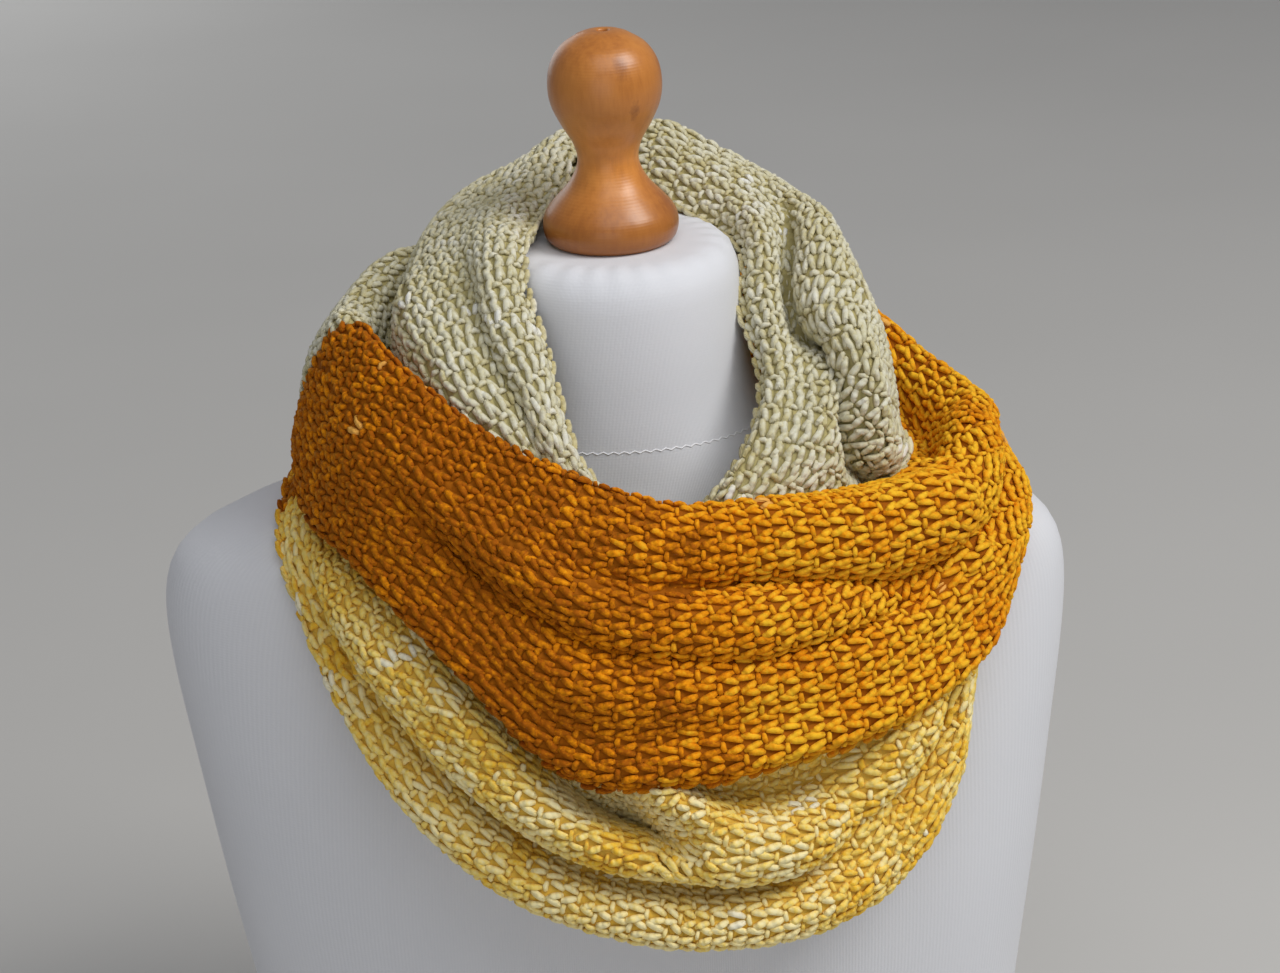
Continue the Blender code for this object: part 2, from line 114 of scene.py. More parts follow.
# -------------------- scarf sections
# One closed loop of 1080 degrees.  Each row is the section of the cloth at one
# turn angle (0 = front, growing to +X): the radius and height of seven lines that
# run along the scarf, from its inner edge, over the top, to its outer edge.
#    turn  inner edge  crest     upper     middle    lower     outer hem  tucked edge
LOOP = [
    # mustard, front
    (-90,  103, 424,  107, 438,  119, 441,  132, 426,  139, 404,  142, 386,  137, 382),
    (-80,  106, 421,  111, 442,  119, 447,  131, 428,  138, 407,  144, 386,  139, 381),
    (-70,  107, 416,  113, 446,  124, 435,  135, 410,  141, 390,  146, 373,  141, 370),
    (-50,  110, 405,  113, 436,  129, 417,  141, 394,  145, 380,  149, 366,  144, 362),
    (-30,  110, 386,  112, 418,  130, 398,  143, 373,  145, 356,  152, 337,  147, 333),
    (-10,  110, 368,  113, 403,  132, 379,  146, 350,  146, 333,  154, 292,  149, 286),
    (10,  110, 352,  114, 388,  133, 365,  147, 334,  146, 318,  154, 287,  149, 281),
    (30,  111, 348,  116, 382,  136, 366,  150, 330,  149, 314,  157, 290,  152, 284),
    (50,  118, 344,  123, 377,  145, 365,  158, 330,  156, 315,  163, 294,  158, 288),
    (60,  120, 350,  131, 376,  152, 367,  165, 333,  163, 318,  168, 300,  163, 295),
    (70,  114, 366,  141, 379,  159, 368,  171, 341,  171, 328,  172, 310,  167, 305),
    (79,  110, 372,  152, 383,  164, 377,  172, 364,  175, 356,  177, 349,  173, 347),
    (88,  110, 374,  154, 388,  161, 383,  168, 372,  172, 363,  174, 357,  170, 356),
    (103,  107, 380,  140, 399,  146, 395,  152, 386,  157, 377,  159, 371,  155, 368),
    # mustard, back
    (120,  106, 386,  124, 416,  136, 409,  144, 400,  149, 391,  151, 384,  146, 381),
    (135,  101, 392,  118, 422,  126, 417,  131, 408,  133, 401,  133, 394,  128, 390),
    (150,  95, 398,  110, 430,  117, 421,  121, 407,  122, 395,  122, 385,  117, 380),
    (165,  92, 400,  105, 434,  112, 424,  115, 407,  116, 389,  115, 373,  110, 367),
    (180,  92, 400,  102, 436,  109, 424,  112, 404,  113, 386,  112, 368,  107, 361),
    (210,  96, 392,  108, 424,  118, 415,  123, 398,  125, 382,  124, 364,  118, 356),
    (240,  100, 382,  116, 406,  130, 403,  140, 392,  145, 379,  147, 366,  142, 362),
    (255,  103, 381,  115, 391,  129, 389,  138, 382,  143, 374,  146, 367,  142, 364),
    # yellow, front
    (272,  106, 378,  117, 382,  127, 380,  135, 376,  141, 371,  145, 367,  148, 364),
    (281,  112, 374,  123, 374,  134, 372,  142, 368,  147, 364,  150, 360.4,  152, 357.3),
    (285,  116, 371,  128, 370,  139, 368,  146, 364,  150, 359.6,  152, 356.3,  154, 352.2),
    (290,  120, 366,  132, 363,  142, 361,  149, 356,  152, 350,  154, 345,  154, 341),
    (310,  120, 368,  131, 357,  152, 344,  151, 318,  155, 303,  155, 293,  148, 289),
    (330,  122, 350,  131, 333,  153, 309,  148, 276,  154, 258,  152, 244,  144, 240),
    (350,  122, 316,  131, 296,  152, 265,  148, 245,  153, 232,  151, 220,  143, 216),
    (370,  123, 306,  133, 284,  152, 244,  148, 231,  153, 218,  151, 207,  143, 203),
    (390,  125, 306,  135, 287,  154, 241,  148, 226,  154, 214,  152, 203,  144, 199),
    (403,  130, 312,  139, 298,  156, 252,  149, 232,  156, 219,  154, 207,  146, 203),
    (412,  134, 322,  141, 312,  152, 284,  149, 257,  159, 236,  159, 223,  151, 218),
    (420,  136, 334,  143, 328,  150, 313,  150, 291,  160, 264,  161, 247,  154, 241),
    (428,  133, 354,  141, 353,  148, 346,  152, 334,  158, 312,  161, 289,  157, 283),
    # yellow, back
    (436,  136, 362,  144, 366,  151, 365,  157, 360,  161, 354,  164, 349,  167, 344),
    (442,  136, 366,  144, 370,  152, 369,  157, 364,  161, 359,  164, 355,  167, 352),
    (450,  134, 367,  142, 370,  150, 369,  155, 365,  158, 361,  161, 357.4,  163, 355.3),
    (465,  127, 367,  137, 372,  146, 371,  151, 366,  154, 361.5,  157, 357.4,  159, 353.4),
    (472,  123, 367,  133, 372,  143, 371,  149, 365,  152, 359,  155, 353,  156, 349),
    (480,  121, 366,  131, 372,  141, 370,  148, 360,  151, 350,  153, 340,  152, 332),
    (495,  131, 366,  137, 375,  142, 376,  147, 366,  149, 350,  149, 336,  143, 328),
    (510,  133, 400,  137, 414,  142, 414,  146, 400,  148, 378,  147, 354,  141, 344),
    # cream, left
    (525,  109, 452,  112, 466,  118, 470,  125, 461,  130, 440,  131, 414,  126, 400),
    (540,  94, 474,  97, 486,  102, 493,  109, 488,  116, 467,  120, 442,  118, 428),
    (555,  64, 491,  72, 495,  79, 497,  88, 494,  99, 480,  107, 460,  109, 444),
    (570,  39, 487,  52, 491,  65, 493,  79, 491,  92, 477,  100, 459,  102, 446),
    (590,  35, 481,  49, 485,  62, 486,  78, 482,  89, 475,  97, 466,  100, 460),
    (600,  34, 478,  47, 483,  62, 483,  79, 478,  88, 469,  93, 459,  95, 450),
    (615,  33, 477,  46, 482,  63, 480,  82, 473,  90, 456,  95, 437,  95, 418),
    (630,  33, 476,  45, 480,  63, 476,  84, 467,  92, 446,  94, 420,  92, 396),
    (650,  36, 478,  47, 480,  67, 473,  93, 459,  99, 438,  100, 412,  97, 392),
    (665,  45, 478,  55, 478,  74, 465,  97, 449,  103, 428,  103, 404,  99, 382),
    (673,  53, 473,  60, 473,  77, 459,  99, 443,  104, 423,  103, 398,  99, 375),
    (680,  59, 463,  65, 464,  82, 451,  101, 436,  105, 418,  103, 392,  99, 368),
    (695,  71, 440,  77, 442,  90, 432,  102, 416,  104, 400,  102, 375,  98, 350),
    (710,  94, 398,  98, 400,  102, 392,  103, 380,  103, 360,  101, 338,  97, 318),
    # cream, right
    (730,  99, 372,  101, 374,  103, 370,  104, 362,  104, 345,  101, 325,  97, 305),
    (750,  96, 390,  99, 393,  103, 388,  106, 380,  107, 366,  104, 345,  100, 325),
    (770,  81, 415,  86, 422,  98, 412,  109, 405,  115, 390,  115, 366,  112, 345),
    (790,  59.5, 440,  68, 448,  86, 438,  104, 444,  117, 429,  124, 404,  126, 383),
    (810,  58, 459,  64, 469,  78, 461,  94, 466,  106, 450,  112, 422,  112, 393),
    (840,  55, 464,  62, 475,  76, 478,  92, 477,  103, 462,  107, 436,  106, 412),
    (870,  48, 474,  57, 483,  68, 490,  85, 496,  97, 481,  101, 459,  100, 441),
    (885,  46, 476,  56, 485,  68, 493,  86, 503,  96, 485,  99, 460,  97, 436),
    # cream, back
    (900,  48, 475,  58, 484,  69, 489,  79, 486,  85, 470,  87, 448,  84, 424),
    (915,  56, 469,  62, 477,  70, 480,  80, 477,  88, 462,  91, 438,  88, 416),
    (930,  61, 454,  68, 463,  75, 467,  84, 463,  91, 447,  94, 427,  91, 406),
    (945,  80, 420,  86, 438,  92, 449,  99, 451,  105, 443,  108, 432,  106, 424),
    (960,  96, 430,  101, 446,  109, 452,  117, 446,  122, 437,  124, 429,  120, 424),
    (975,  101, 430,  105, 443,  114, 447,  125, 436,  132, 423,  136, 410,  131, 406),
]
TURNS = 1080        # degrees in the whole loop

# Folds pressed into the sections: turn where each starts, is deepest and ends, place
# across the width (0 = inner edge, 1 = outer edge) at its start and end, half width
# and depth in mm (+ outwards, - inwards).
FOLDS = [
    (0, 62, 104, 0.26, 0.42, 15, 3.5),     # rolled top of the mustard front
    (-45, 35, 88, 0.7, 0.74, 13, 3),       # long ridge below the valley
    (-40, 20, 74, 0.84, 0.86, 9, -4),      # recess above the hem
    (296, 350, 408, 0.4, 0.34, 9, 2.5),    # long roll of the yellow front
    (575, 650, 712, 0.42, 0.4, 12, -4),    # shallow dip down the left cream fall
    (575, 655, 715, 0.14, 0.12, 10, 2.5),  # its rounded selvedge
    (120, 190, 262, 0.5, 0.58, 10, -4),    # folds round the back
    (448, 500, 540, 0.4, 0.46, 9, -4),
    (815, 868, 930, 0.34, 0.46, 11, -5),
    (500, 556, 600, 0.5, 0.44, 12, -4),
]

# Deep creases, a table each of turn, place across the width (0 = inner edge), depth in
# mm (- inwards), half width in mm and how far the roll beside it laps over it in mm.
MUSTARD_ROLL = (   # under the rolled top of the mustard front
    (-20, 0.47, 0, 10, 0), (4, 0.46, -7, 9, 2), (20, 0.43, -12, 9, 5), (31, 0.44, -15, 9, 8),
    (41, 0.46, -21, 8.5, 11), (51, 0.48, -30, 8, 14), (60, 0.47, -36, 7.5, 16),
    (67, 0.44, -36, 7.5, 16), (73, 0.52, -32, 7.5, 14), (78, 0.63, -20, 7.5, 8),
    (90, 0.72, 0, 6, 0),
)
MUSTARD_RIDGE = (   # under the long ridge across the middle of the mustard front
    (-50, 0.64, 0, 9, 0), (-26, 0.63, -9, 8, 5.5), (-15, 0.585, -13, 8, 8),
    (3, 0.61, -16, 8, 9.5), (24, 0.645, -17, 8, 10), (49, 0.64, -16, 8, 9.5),
    (68, 0.66, -6, 8, 4), (80, 0.68, 0, 7, 0),
)
YELLOW_ROLL = (   # under the long roll of the yellow front
    (292, 0.66, 0, 8, 0), (306, 0.66, -11, 8.5, 6), (318, 0.66, -15, 9, 8),
    (329, 0.69, -15, 7.5, 8), (352, 0.7, -16, 7.5, 8), (371, 0.69, -16, 7.5, 8),
    (384, 0.66, -19, 7.5, 9.5), (392, 0.6, -25, 7.5, 12), (398, 0.53, -31, 7.5, 15),
    (405, 0.5, -36, 7.5, 17), (412, 0.52, -37, 7.5, 17), (417, 0.49, -34, 7.5, 15),
    (421, 0.44, -26, 7.5, 12), (428, 0.4, -12, 7.5, 6), (436, 0.4, 0, 7, 0),
)
POCKET = (   # pocket beside the small tuck under the mustard's hem
    (322, 0.24, 0, 8, 0), (338, 0.31, -15, 8, 0), (346, 0.365, -27, 9, 0),
    (353, 0.4, -36, 10, 0), (358, 0.43, -38, 10, 0), (362, 0.46, -34, 9, 0),
    (366, 0.51, -15, 7, 0), (371, 0.55, 0, 6, 0),
)
TUCK = (   # the tuck itself
    (358, 0.32, 0, 7, 0), (363, 0.36, 13, 9, 0), (369, 0.41, 13, 9, 0), (378, 0.48, 5, 10, 0),
    (390, 0.5, 0, 10, 0),
)
PANEL = (   # panel between the tuck and the bright roll at the right of the yellow front
    (366, 0.28, 0, 10, 0), (378, 0.34, -12, 12, 0), (396, 0.38, -13, 13, 0),
    (412, 0.36, 0, 10, 0),
)
RIM_HOLLOW = (   # hollow inside the rim at the right of the mustard
    (58, 0.28, 0, 9, 0), (68, 0.3, -6, 9, 0), (78, 0.28, -12, 9.5, 0), (92, 0.24, -13, 10, 0),
    (104, 0.2, -9, 9, 0), (120, 0.16, 0, 8, 0),
)
RIM = (   # the rim itself
    (60, 0.46, 0, 11, 0), (75, 0.5, 3, 11, 0), (90, 0.58, 4.5, 10, 0), (106, 0.62, 0, 10, 0),
)
CREAM_DIP = (   # dip down the left cream fall
    (600, 0.3, 0, 10, 0), (672, 0.25, -5, 8, 3), (698, 0.29, -5, 8, 3), (712, 0.3, 0, 9, 0),
)
CREASES = (MUSTARD_ROLL, MUSTARD_RIDGE, YELLOW_ROLL, POCKET, TUCK, PANEL, RIM_HOLLOW, RIM, CREAM_DIP)

# The crease between the right cream's inner strand and its outer roll, which turns
# across the cloth: turn, share of the width, depth, half width and the roll's lap.
CROSSING = (
    (850, 0.31, 0, 7, 0), (832, 0.28, -4, 6, 1.5), (813, 0.24, -9, 5.5, 4),
    (800, 0.23, -12, 5.5, 5.5), (790, 0.27, -14, 5.5, 5.5), (781, 0.42, -16, 5.5, 5),
    (778, 0.6, -17, 6, 4.5), (779, 0.8, -16, 6.5, 5), (784, 1, -15, 7, 5.5),
)
CROSSING_BEND = 4           # its row where it turns to run across
CROSSING_STEPS = 160        # points worked out along it
CROSSING_REACH = 745, 862   # turns between which it changes the cloth
CROSSING_SLOW_SIDE = 1.4    # how much wider it is on the side away from its roll

# node, turn angles of its two ends (inner edge, outer edge), colour, and how far stitches
# are also made on the inner side, in mm from the inner and the outer edge
STRETCHES = [
    ("scarf_mustard_front", (-70, -94), (125, 125), "mustard_wool", (30, 6)),
    ("scarf_mustard_back", (125, 125), (280, 280), "mustard_wool", (24, 6)),
    ("scarf_yellow_front", (280, 280), (432, 432), "yellow_wool", (12, 12)),
    ("scarf_yellow_back", (432, 432), (525, 525), "yellow_wool", (12, 6)),
    ("scarf_cream_left", (525, 525), (720, 720), "cream_wool", (22, 10)),
    ("scarf_cream_right", (720, 720), (900, 900), "cream_wool", (30, 10)),
    ("scarf_cream_back", (900, 900), (1010, 986), "cream_wool", (30, 10)),
]

# share of the width where the columns counted from the inner edge meet those
# counted from the outer edge: turn, share
MEETING = [(-94, 0.47), (4, 0.46), (15, 0.43), (31, 0.44), (51, 0.48), (67, 0.44), (73, 0.52),
           (78, 0.63), (100, 0.6), (125, 0.5), (272, 0.55), (306, 0.66), (329, 0.69), (352, 0.7),
           (371, 0.69), (392, 0.6), (405, 0.5), (412, 0.52), (422, 0.44), (450, 0.5), (1010, 0.5)]

# how the yarn's shade runs: turn, shift of the shade, strength of the hand-dyed yarn's patches; the
# shift is painted light and shade: darker where the cloth lies in shade, as on the mustard's front left,
# lighter where it is lit, as on the mustard's top roll, and painted light on the yellow front under the
# mustard's hem, against the hem's shadow
DYE_AND_PAINTED_LIGHT = [(-94, -0.42, 0.2), (-20, -0.52, 0.2), (8, -0.15, 0.35), (26, 0.22, 0.4), (60, 0.3, 0.4),
       (110, 0.3, 0.4), (260, 0.15, 0.4), (280, -0.45, 0.7), (292, -0.2, 0.9), (304, -0.15, 1),
       (322, 0.12, 1.1), (350, 0.34, 1.1), (375, 0.18, 1.1), (400, -0.12, 1), (430, -0.22, 0.9),
       (520, 0, 0.9), (530, 0, 0.5), (1010, 0, 0.5)]


# -------------------- lines and tables
def unit(v):
    return v / np.maximum(np.linalg.norm(v, axis=-1, keepdims=True), 1e-9)


def blend(pair, share):
    """Value a share of the way from the first of a pair to the second."""
    return pair[0] + (pair[1] - pair[0]) * share


def lengths(points):
    """Length along each line of points, from its start to every point."""
    steps = np.linalg.norm(np.diff(points, axis=-2), axis=-1)
    return np.insert(np.cumsum(steps, axis=-1), 0, 0, axis=-1)


def row_at(rows, x):
    """The rest of a table's row at x, straight between its rows."""
    places, *columns = zip(*rows)
    return [np.interp(x, places, column) for column in columns]


def smooth(rows, k, u):
    """A table's row a share u of the way from row k to the next, on a smooth curve."""
    picked = [rows[min(max(i, 0), len(rows) - 1)] for i in range(k - 1, k + 3)]
    before, start, end, after = np.array(picked, float)
    gap = end[0] - start[0]
    slope_start = (end - before) / (end[0] - before[0]) * gap
    slope_end = (after - start) / (after[0] - start[0]) * gap
    return ((1 + 2 * u) * (1 - u) ** 2 * start + u * (1 - u) ** 2 * slope_start
            + u * u * (3 - 2 * u) * end + u * u * (u - 1) * slope_end)


def smooth_at(rows, x):
    """The rest of a table's row at x, on a smooth curve through its rows."""
    k = max(i for i in range(len(rows) - 1) if rows[i][0] <= x)
    return smooth(rows, k, (x - rows[k][0]) / (rows[k + 1][0] - rows[k][0]))[1:]


def shifted(rows, turns):
    """Rows of the loop again, further round it."""
    return [(row[0] + turns, *row[1:]) for row in rows]


# the loop with the rows that come before its first and after its last
ROUND = shifted(LOOP[-1:], -TURNS) + LOOP + shifted(LOOP[:2], TURNS)


def section(turn):
    """The cloth at any turn angle, a curve through its seven lines in FINE equal steps."""
    points = smooth_at(ROUND, (turn - LOOP[0][0]) % TURNS + LOOP[0][0]).reshape(-1, 2)
    rows = np.column_stack([lengths(points), points])
    steps = np.arange(CURVE_STEPS)[:, None] / CURVE_STEPS
    fine = [smooth(rows, k, steps)[:, 1:] for k in range(len(points) - 1)]
    fine = np.concatenate([*fine, points[-1:]])
    run = lengths(fine)
    return np.stack([np.interp(SHARES * run[-1], run, column) for column in fine.T], -1)


def cloth(turn):
    """Section of the cloth at a turn angle, with its folds and creases pressed in."""
    plain = section(turn)
    width = FINE * math.dist(plain[FINE // 2], plain[FINE // 2 + 1])
    marks = [row_at(rows, turn) for rows in CREASES if rows[0][0] <= turn < rows[-1][0]]
    for first, deepest, last, *shares, half, depth in FOLDS:
        place = (turn - first) % TURNS + first
        if place < last:
            grow = np.interp(place, (first, deepest, last), (0, 1, 0))
            share = np.interp(place, (first, last), shares)
            marks.append((share, depth * grow * grow * (3 - 2 * grow), half, 0))
    push = slide = 0
    for share, depth, half, lap in marks:
        x = (SHARES - share) * width / half
        if lap > 0:
            x = np.where(x > 0, x / SLOW_SIDE, x)
            roll = ROLL_SHARE * np.exp(-((abs(x) - ROLL_AWAY) / ROLL_WIDE) ** 2)
            push = push - depth * roll * np.where(x < 0, 1, 0.5)
        push = push + depth * np.exp(-x * x)
        slide = slide + lap * (np.exp(-(x + 1) ** 2) - 0.2 * np.exp(-(x - 1) ** 2))
    ends = np.pad(plain, ((1, 1), (0, 0)), "edge")
    radial, height = unit(ends[2:] - ends[:-2]).T
    return plain + np.stack([slide * radial - push * height, slide * height + push * radial], -1)


# -------------------- cloth surface
class Band:
    """The whole scarf, sampled every degree along it and in FINE steps across."""

    def __init__(self):
        first, last = min(STRETCHES[0][1]), max(STRETCHES[-1][2])
        self.turns = np.arange(first - 2, last + 3, 1)
        radial, height = np.moveaxis(np.array([cloth(turn) for turn in self.turns]), -1, 0)
        angle = np.radians(self.turns)[:, None]
        self.place = np.stack([radial * np.sin(angle), -radial * np.cos(angle), height], -1)
        self.measure()
        for change in (self.cross, self.even, self.roughen):
            change()
            self.measure()
        self.rows = lengths(self.place[:, FINE // 2])

    def measure(self):
        """Directions, lengths across and hollows of the cloth as it lies now."""
        p = self.place
        along = np.gradient(p, axis=0)
        over = np.gradient(p, axis=1)
        self.normal = unit(np.cross(over, along))
        self.along = unit(along)
        self.over = unit(np.cross(self.along, self.normal))
        self.run = lengths(p)
        self.width = self.run[:, -1]
        turned = p[:, 2:] - 2 * p[:, 1:-1] + p[:, :-2]
        self.hollow = np.zeros(p.shape[:2])
        self.hollow[:, 1:-1] = (turned * self.normal[:, 1:-1]).sum(2) / (self.width[:, None] / FINE) ** 2

    def cross(self):
        """Press in the crease that turns across the right cream."""
        steps = np.linspace(0, len(CROSSING) - 1, CROSSING_STEPS)
        rows = [np.interp(steps, range(len(CROSSING)), column) for column in zip(*CROSSING)]
        line = self.at(rows[0], rows[1] * np.interp(rows[0], self.turns, self.width))[0]
        reach = slice(*(int(turn - self.turns[0]) for turn in CROSSING_REACH))
        turn, share = self.turns[reach, None], SHARES[None, :]
        bend_turn, bend_share = CROSSING[CROSSING_BEND][:2]
        across = [row[1::-1] for row in CROSSING[CROSSING_BEND:]]
        upwards = [row[:2] for row in CROSSING[CROSSING_BEND::-1]]
        inner_part = share > np.where(turn > bend_turn, row_at(upwards, turn)[0], bend_share)
        on_roll = inner_part & ((turn > row_at(across, share)[0]) | (share < bend_share))
        place = self.place[reach]
        away = place[:, :, None] - line
        gap = np.linalg.norm(away, axis=3)
        near = gap.argmin(axis=2)
        towards = -np.take_along_axis(away, near[:, :, None, None], 2)[:, :, 0]
        depth, half, lap = (row[near] for row in rows[2:])
        x = gap.min(axis=2) / half * np.where(on_roll, 1, 1 / CROSSING_SLOW_SIDE)
        roll = ROLL_SHARE * on_roll * np.exp(-((x - ROLL_AWAY) / ROLL_WIDE) ** 2)
        push = depth * (np.exp(-x ** 2) - roll)
        slide = lap * (0.2 + 0.8 * on_roll) * np.exp(-(x - 1) ** 2) * np.minimum(x, 1)
        self.place[reach] += self.normal[reach] * push[..., None] + unit(towards) * slide[..., None]

    def even(self):
        """Space the points of every section evenly again; keep where each share went."""
        self.moved = self.run / self.width[:, None]
        for points, moved in zip(self.place, self.moved):
            points[:] = np.stack([np.interp(SHARES, moved, column) for column in points.T], -1)

    def roughen(self):
        """Small unevenness of hand-knitted cloth, and edges that wander a little."""
        (size, rise), (spell, aside, inwards) = UNEVEN, WANDER
        for i, width in enumerate(self.width):
            for j in range(FINE + 1):
                x, y, z = self.place[i, j]
                bump = noise.noise(Vector((x / size, y / size, z / size + 40))) * rise
                wander = noise.noise(Vector((x / spell + 9, y / spell, z / spell))) * aside
                near = max(0, 1 - min(j, FINE - j) / FINE * width / inwards)
                self.place[i, j] += self.normal[i, j] * bump + self.over[i, j] * wander * near

    def at(self, turn, mm):
        """Point, normal, along and over, at arrays of turn and of mm from the inner edge."""
        i = np.clip(turn - self.turns[0], 0, len(self.turns) - 1.001)
        k = i.astype(int)
        f = i - k
        v = np.clip(mm / blend((self.width[k], self.width[k + 1]), f), 0, 1) * FINE
        j = np.clip(v.astype(int), 0, FINE - 1)
        f, g = f[:, None], (v - j)[:, None]
        found = []
        for field in (self.place, self.normal, self.along, self.over):
            low = blend((field[k, j], field[k, j + 1]), g)
            high = blend((field[k + 1, j], field[k + 1, j + 1]), g)
            found.append(blend((low, high), f))
        return found[0], *map(unit, found[1:])

    def nearest(self, turn):
        """Index of the section nearest to each turn."""
        return np.round(turn - self.turns[0]).astype(int).clip(0, len(self.turns) - 1)

    def now_at(self, turn, share):
        """Share of the creased width that a share of the smooth width went to."""
        return np.array([np.interp(s, SHARES, self.moved[k]) for k, s in zip(self.nearest(turn), share)])

    def crowding(self, turn, mm):
        """How much the stitches shrink where the cloth folds tightly inwards."""
        k = self.nearest(turn)
        j = np.round(mm / self.width[k] * FINE).astype(int).clip(0, FINE)
        return np.clip(1.12 - 2.4 * self.hollow[k, j], 0.45, 1)


# -------------------- meshes
def link(name, data):
    """An object of its own for a mesh, camera or light."""
    obj = bpy.data.objects.new(name, data)
    bpy.context.scene.collection.objects.link(obj)
    return obj


def mesh_object(name, verts, faces, mat, spots=None, tones=None):
    """Object from vertices in mm and triangles, with yarn places and stitch tones."""
    mesh = bpy.data.meshes.new(name)
    faces = np.array(faces, np.int32)
    mesh.vertices.add(len(verts))
    mesh.vertices.foreach_set("co", (np.array(verts, float) * MM).astype(np.float32).ravel())
    mesh.loops.add(faces.size)
    mesh.loops.foreach_set("vertex_index", faces.ravel())
    mesh.polygons.add(len(faces))
    mesh.polygons.foreach_set("loop_start", np.arange(len(faces), dtype=np.int32) * 3)
    mesh.polygons.foreach_set("use_smooth", np.full(len(faces), True))
    mesh.update(calc_edges=True)
    mesh.materials.append(mat)
    if spots is not None:
        layer = mesh.uv_layers.new(name="yarn")
        layer.data.foreach_set("uv", spots[faces.ravel()].astype(np.float32).ravel())
    if tones is not None:
        layer = mesh.attributes.new("tone", "FLOAT_COLOR", "POINT")
        layer.data.foreach_set("color", tones.astype(np.float32).ravel())
    return link(name, mesh)


def grid(rows, columns, closed=True, start=0):
    """Triangles between rows of points; closed rows join their last point to their first."""
    faces = []
    for i in range(rows - 1):
        for j in range(columns if closed else columns - 1):
            a, b = start + i * columns + j, start + i * columns + (j + 1) % columns
            faces += [(a, b, b + columns), (a, b + columns, a + columns)]
    return faces


# -------------------- stitches
def spindle(line, radii):
    """Closed rounded rod along a line of points: vertices, faces and a place along it."""
    line = np.array(line)
    verts, reach = [line[0]], [0]
    steps = len(line) - 1
    for i, (wide, high) in enumerate(radii, 1):
        tangent = unit(line[i + 1] - line[i - 1])
        side = unit(np.cross((0, 0, 1), tangent))
        up = np.cross(tangent, side)
        for s in range(YARN_SIDES):
            a = 2 * math.pi * (s + 0.5) / YARN_SIDES
            verts.append(line[i] + side * wide * math.cos(a) + up * high * math.sin(a))
            reach.append(i / steps)
    tip = len(verts)
    faces = grid(len(radii), YARN_SIDES, start=1)
    for s in range(YARN_SIDES):
        n = (s + 1) % YARN_SIDES
        faces += [(0, 1 + n, 1 + s), (tip - YARN_SIDES + s, tip - YARN_SIDES + n, tip)]
    return np.array([*verts, line[-1]]), np.array(faces), np.array([*reach, 1])


def leg(side, start, end, open_by):
    """One leaf-shaped leg of a knit stitch; the pair closes towards growing turn."""
    line = []
    for u in (0, 0.07, 0.36, 0.68, 0.94, 1):
        away = blend((open_by, 0.85), u) + 0.3 * math.sin(math.pi * u)
        rise = -0.7 + 1.3 * math.sin(math.pi * (0.1 + 0.8 * u))
        line.append((blend((start, end), u), away * side, rise))
    return spindle(line, ((1.25, 0.95), (1.66, 1.25), (1.62, 1.25), (1.15, 0.95)))


def bump():
    """The purl bump: a short loop of yarn across the column."""
    line = []
    for u in (0, 0.18, 0.5, 0.82, 1):
        arch = math.sin(math.pi * u)
        line.append((0.5 - 1.1 * arch, blend((-2.7, 2.7), u), -0.8 + 1.55 * arch))
    return spindle(line, ((1.2, 1), (1.35, 1.2), (1.2, 1)))


# the three shapes of one repeat, each about its own middle: open V, long V, bump
SHAPES = (
    (leg(1, -3.4, 3.5, 3.25), leg(-1, -3.4, 3.5, 3.25)),
    (leg(1, -4.3, 4.2, 3.15), leg(-1, -4.3, 4.2, 3.15)),
    (bump(),),
)
PLACES = (4.3, 11.1, 0)           # middles of the three along one repeat
BEHIND = (2, 2, 0)                # shape that shows behind each of them


def knit(name, stitches, mat):
    """One mesh of a piece's stitches, as column_stitches lists them."""
    parts, total = [], 0
    for kind, shapes in enumerate(SHAPES):
        columns = zip(*(stitch[1:] for stitch in stitches if stitch[0] == kind))
        centre, along, over, out, size, tone = (np.array(column)[:, None] for column in columns)
        number = np.arange(len(centre))[:, None]
        for verts, faces, reach in shapes:
            x, y, z = np.moveaxis(verts * size, -1, 0)[..., None]
            placed = centre + along * x + over * y + out * z
            shade = np.ones((*placed.shape[:2], 4))
            shade[..., :2] = tone
            # height on the stitch, which its material turns into painted shade low down on the stitch
            shade[..., 2] = (verts[:, 2] - verts[:, 2].min()) / np.ptp(verts[:, 2])
            spot = np.empty((*placed.shape[:2], 2))
            spot[..., 0] = reach + number * 0.37
            spot[..., 1] = np.arctan2(verts[:, 2], verts[:, 1]) / (2 * math.pi)
            faces = faces + total + number[..., None] * len(verts)
            total += len(number) * len(verts)
            parts.append([block.reshape(-1, block.shape[-1]) for block in (placed, faces, spot, shade)])
    verts, faces, spots, tones = map(np.concatenate, zip(*parts))
    return mesh_object(name, verts, faces, mat, spots, tones)


# -------------------- where stitches lie
def stretch_of(turn, share):
    """Index in STRETCHES of the stretch that holds a place on the band, or None."""
    for n, (_, start, end, *_) in enumerate(STRETCHES):
        if blend(start, share) <= turn < blend(end, share):
            return n
    return None


def tone_of(row, column, turn, rng):
    """Shade of one stitch: hand-dyed yarn changes slowly along each knitted row; its shift along the
    turn is painted light and shade.
    """
    slow = noise.noise(Vector((row * 0.3, column * 0.14, 3)))
    quick = noise.noise(Vector((row * 3.1, column * 0.45, 11)))
    # shift: painted light and shade along the turn; patches: the hand-dyed yarn's own patches
    shift, patches = row_at(DYE_AND_PAINTED_LIGHT, turn)
    shade = 0.5 + shift + patches * slow + 0.42 * quick + rng.uniform(-0.11, 0.11)
    return min(max(shade, 0), 1), rng.random()


